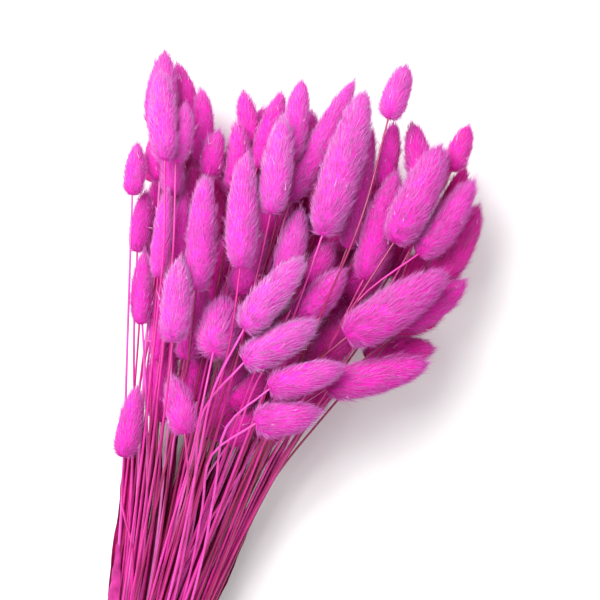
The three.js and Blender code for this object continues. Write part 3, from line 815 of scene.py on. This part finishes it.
def leaf_material():
    # The dry leaf at the edge, and the dark leaves under the stems that are painted shade
    material, tree, shader = make_material("dry_leaf_and_painted_shade", roughness=0.6, specular=0.3)
    colour = ramp(tree, attribute(tree, "tone"), LEAF_AND_SHADE_COLOUR)
    patches = ramp(tree, noise(tree, scale=240, detail=4), LEAF_PATCHES)
    tree.links.new(patchy(tree, colour, patches, share=0.8), shader.inputs["Base Color"])
    return material


def band_material():
    """Plain natural rubber, with a little bloom on it."""
    material, tree, shader = make_material("rubber_band", roughness=0.55, specular=0.4)
    bloom = noise(tree, scale=350, detail=5)
    tree.links.new(ramp(tree, bloom, BAND_COLOUR), shader.inputs["Base Color"])
    add_bump(tree, shader, bloom, strength=0.3)
    return material


def dress_pair(node, heads, materials, hair_share, edge_stem):
    """Stands for one node of the model: two stems with their furry heads."""
    pieces = Pieces()
    for grass in heads:
        if grass is edge_stem:
            add_leaf(pieces, grass, EDGE_LEAF, EDGE_TONE)
        slot_height = grass["stem"][1][2]
        # A dark leaf under a low stem, as painted shade between the stems
        if slot_height < SHADE_LEAF_UNDER:
            add_leaf(pieces, grass, LEAF, float(rng.uniform(*SHADE_LEAF_TONE)))
        across, _, height = grass["axis"].place(np.array(0.5))
        # Painted light and shade: a head is paler the higher and further left it lies, and darker and deeper
        # in colour low in the heap and to the right
        tone = np.interp(height, PAINTED_LIGHT_AT, PAINTED_LIGHT_UPWARD) - PAINTED_LIGHT_LEFT * across
        tone = float(tone + rng.uniform(-HEAD_TONE, HEAD_TONE))
        stem_across = grass["stem"][:, 0].mean()
        # Painted light and shade: a stem is paler the further left it lies and darker to the right, where the
        # heads shade it
        stem_tone_with_painted_light = float(np.clip(rng.uniform(*STEM_TONE) - STEM_PAINTED_LIGHT_LEFT * stem_across, 0, 1))
        count = int(hair_share * head_area(grass))
        add_stem(pieces, grass, stem_tone_with_painted_light)
        add_core(pieces, grass, tone)
        add_hairs(pieces, grass, tone, count)
        add_awns(pieces, grass, tone)
        add_straws(pieces, grass)
    thing = pieces.build(node.replace("grass_pair", "bunny_tails"), materials)
    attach(thing, "root")
    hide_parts(node)


def head_area(grass):
    """About the area of a head's fur, more for the heads near the top, which show most."""
    height = grass["axis"].place(np.array(0.5))[2]
    shows = np.interp(height, SHOWS_AT, SHOWS)
    return grass["axis"].length * grass["radius"] * shows


def at_left_edge(all_grass):
    """The stem at the bunch's upper left edge, at the upper end of the leaf that is wrapped round it."""
    y = band_middle().y + EDGE_LEAF["reach"][1]

    def far_in(grass):
        stem = grass["stem"]
        return np.interp(y, stem[:, 1], stem[:, 0] - EDGE_HIGH * stem[:, 2])

    return min(all_grass, key=far_in)


def dress_grass():
    nodes = sorted(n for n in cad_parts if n.startswith("grass_pair"))
    pairs = {node: read_pair(node) for node in nodes}
    whole = sum(head_area(grass) for heads in pairs.values() for grass in heads)
    materials = [stem_material(), core_material(), fur_material(), leaf_material()]
    edge_stem = at_left_edge([grass for heads in pairs.values() for grass in heads])
    for node, heads in pairs.items():
        dress_pair(node, heads, materials, HAIR_COUNT / whole, edge_stem)


def band_outline(inset):
    """The outline of the band some way inside its outer surface, as a radius for any angle."""
    co, _ = welded("elastic_band")
    middle = band_middle()
    flat = co[:, [0, 2]] - (middle.x, middle.z)
    turns = np.radians(np.arange(0, 360, OUTLINE_STEP))
    outward = np.stack([np.cos(turns), np.sin(turns)])
    support = (flat @ outward).max(0) - inset

    def radius(angle):
        facing = np.cos(angle[:, None] - turns[None])
        return np.where(facing > ASIDE, support / np.maximum(facing, ASIDE), np.inf).min(1)

    return radius


def smooth(share):
    """Goes from 0 to 1 with soft ends."""
    share = np.clip(share, 0, 1)
    return share * share * (3 - 2 * share)


def band_line():
    """The middle of the strand: turns side by side, and one part that runs back over them."""
    count = BAND_TURNS * STRAND_STEPS
    angle = BAND_CROSSES_AT + 2 * math.pi * BAND_TURNS * np.arange(count) / count
    passed = angle - BAND_CROSSES_AT
    wound = smooth(passed / BAND_CROSSING)
    back = (passed - BAND_CROSSING) / (2 * math.pi * BAND_TURNS - BAND_CROSSING)
    low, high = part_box("elastic_band")
    reach = (high.y - low.y) / 2 - STRAND[0]
    y = np.where(passed < BAND_CROSSING, reach * (1 - 2 * wound), reach * (2 * back - 1))
    over = smooth(BAND_RISE * passed / BAND_CROSSING) * smooth(BAND_RISE * (1 - passed / BAND_CROSSING))
    radius = band_outline(STRAND[1])(angle) + 2 * STRAND[1] * over
    return np.array(band_middle()) + np.stack([radius * np.cos(angle), y, radius * np.sin(angle)], 1)


def dress_band():
    """A closed strand of rubber, wound round the stems."""
    line = band_line()
    way = np.roll(line, -1, 0) - np.roll(line, 1, 0)
    way = way / np.linalg.norm(way, axis=1, keepdims=True)
    out = np.cross(way, np.array((0.0, 1.0, 0.0)))
    out = out / np.linalg.norm(out, axis=1, keepdims=True)
    side = np.cross(out, way)
    round_it = np.arange(STRAND_AROUND) * 2 * math.pi / STRAND_AROUND
    across = np.cos(round_it)[None, :, None] * side[:, None]
    up = np.sin(round_it)[None, :, None] * out[:, None]
    co = line[:, None] + STRAND[0] * across + STRAND[1] * up
    faces = tube_faces(len(line) + 1, STRAND_AROUND) % (len(line) * STRAND_AROUND)
    pieces = Pieces()
    pieces.add(co.reshape(-1, 3), (across + up).reshape(-1, 3), faces, 0)
    thing = pieces.build("wound_band", [band_material()])
    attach(thing, "root")
    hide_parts("elastic_band")


def floor():
    bpy.ops.mesh.primitive_plane_add(size=FLOOR_SIZE, location=(0, 0, 0))
    plane = bpy.context.object
    plane.name = "floor"
    material, _, shader = make_material("pale_floor", roughness=0.9, specular=0.2)
    shader.inputs["Base Color"].default_value = FLOOR_COLOUR
    plane.data.materials.append(material)


def soft_light(name, place, size, power, target):
    data = bpy.data.lights.new(name, "AREA")
    data.shape = "DISK"
    data.size = size
    data.energy = power
    light = bpy.data.objects.new(name, data)
    light.location = place
    way = Vector(target) - Vector(place)
    light.rotation_euler = way.to_track_quat("-Z", "Y").to_euler()
    bpy.context.scene.collection.objects.link(light)


def studio():
    """Soft light from the upper left of the photograph, and a pale surrounding."""
    world = bpy.data.worlds.new("studio")
    bpy.context.scene.world = world
    world.use_nodes = True
    background = world.node_tree.nodes["Background"]
    background.inputs["Color"].default_value = (1, 1, 1, 1)
    background.inputs["Strength"].default_value = SURROUNDING
    soft_light("key", **KEY_LIGHT)
    bpy.context.scene.view_settings.view_transform = "Standard"


def camera():
    data = bpy.data.cameras.new("camera")
    data.sensor_width = SENSOR
    data.lens = SENSOR * (CAMERA_HEIGHT - LOOK_HEIGHT) / VIEW_WIDTH
    thing = bpy.data.objects.new("camera", data)
    middle = band_middle()
    thing.location = (middle.x + LOOK_AT[0], middle.y + LOOK_AT[1], CAMERA_HEIGHT)
    thing.rotation_euler = (0, 0, LEAN)
    bpy.context.scene.collection.objects.link(thing)
    bpy.context.scene.camera = thing


dress_grass()
dress_band()
floor()
studio()
camera()


def corners(box):
    return [list(corner) for corner in box]
